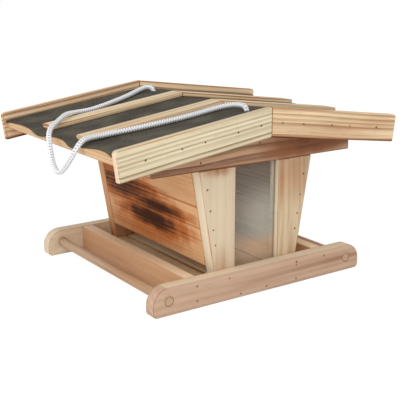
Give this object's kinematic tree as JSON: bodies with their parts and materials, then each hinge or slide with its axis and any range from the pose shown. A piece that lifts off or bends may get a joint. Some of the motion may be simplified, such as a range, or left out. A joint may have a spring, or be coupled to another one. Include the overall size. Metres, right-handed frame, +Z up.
{
  "type": "silo bird feeder",
  "caption": "Wooden silo feeder for birds: seed tray with perches, tapered hopper with clear panes, shallow felted roof that slides up its carrying cord.",
  "frame": {"origin": "on the ground under the middle of the tray", "axes": "+X along the tray rails, +Y from the near gable to the far gable, +Z up"},
  "size_m": [0.377, 0.27, 0.201],
  "materials": {
    "rail_wood": "planed, lightly singed",
    "tray_wood": "planed, lightly singed",
    "gable_wood": "planed",
    "wall_wood": "singed with a flame",
    "barge_wood": "brushed and singed",
    "batten_wood": "planed",
    "deck_wood": "planed",
    "inner_wood": "planed",
    "perch_wood": "turned",
    "felt": "matt, slate grains",
    "cord": "braided",
    "pane": "clear, polished"
  },
  "bodies": {
    "feeder": {"cord_knot_back": "cord", "cord_knot_front": "cord", "cord_leg_back": "cord", "cord_leg_front": "cord", "floor_plank_1": "tray_wood", "floor_plank_2": "tray_wood", "floor_plank_3": "tray_wood", "floor_plank_4": "tray_wood", "gable_board_back_left": "gable_wood", "gable_board_back_right": "gable_wood", "gable_board_front_left": "gable_wood", "gable_board_front_right": "gable_wood", "hanger_yoke_back": "inner_wood", "hanger_yoke_front": "inner_wood", "pane_back": "pane", "pane_front": "pane", "perch_left": "perch_wood", "perch_right": "perch_wood", "rail_back": "rail_wood", "rail_front": "rail_wood", "tray_end_left": "tray_wood", "tray_end_right": "tray_wood", "wall_left_lower": "wall_wood", "wall_left_middle": "wall_wood", "wall_left_upper": "wall_wood", "wall_right_lower": "wall_wood", "wall_right_middle": "wall_wood", "wall_right_upper": "wall_wood"},
    "roof": {"barge_board_back_left": "barge_wood", "barge_board_back_right": "barge_wood", "barge_board_front_left": "barge_wood", "barge_board_front_right": "barge_wood", "batten_back_left": "batten_wood", "batten_back_right": "batten_wood", "batten_front_left": "batten_wood", "batten_front_right": "batten_wood", "cord_loop": "cord", "deck_left": "deck_wood", "deck_right": "deck_wood", "purlin_left": "inner_wood", "purlin_right": "inner_wood", "roof_felt": "felt", "roof_gable_back": "gable_wood", "roof_gable_front": "gable_wood"}
  },
  "joints": [
    {"name": "roof_lift", "type": "slide", "parent": "feeder", "child": "roof", "axis": [0, 0, 1], "range_m": [0, 0.15]}
  ]
}
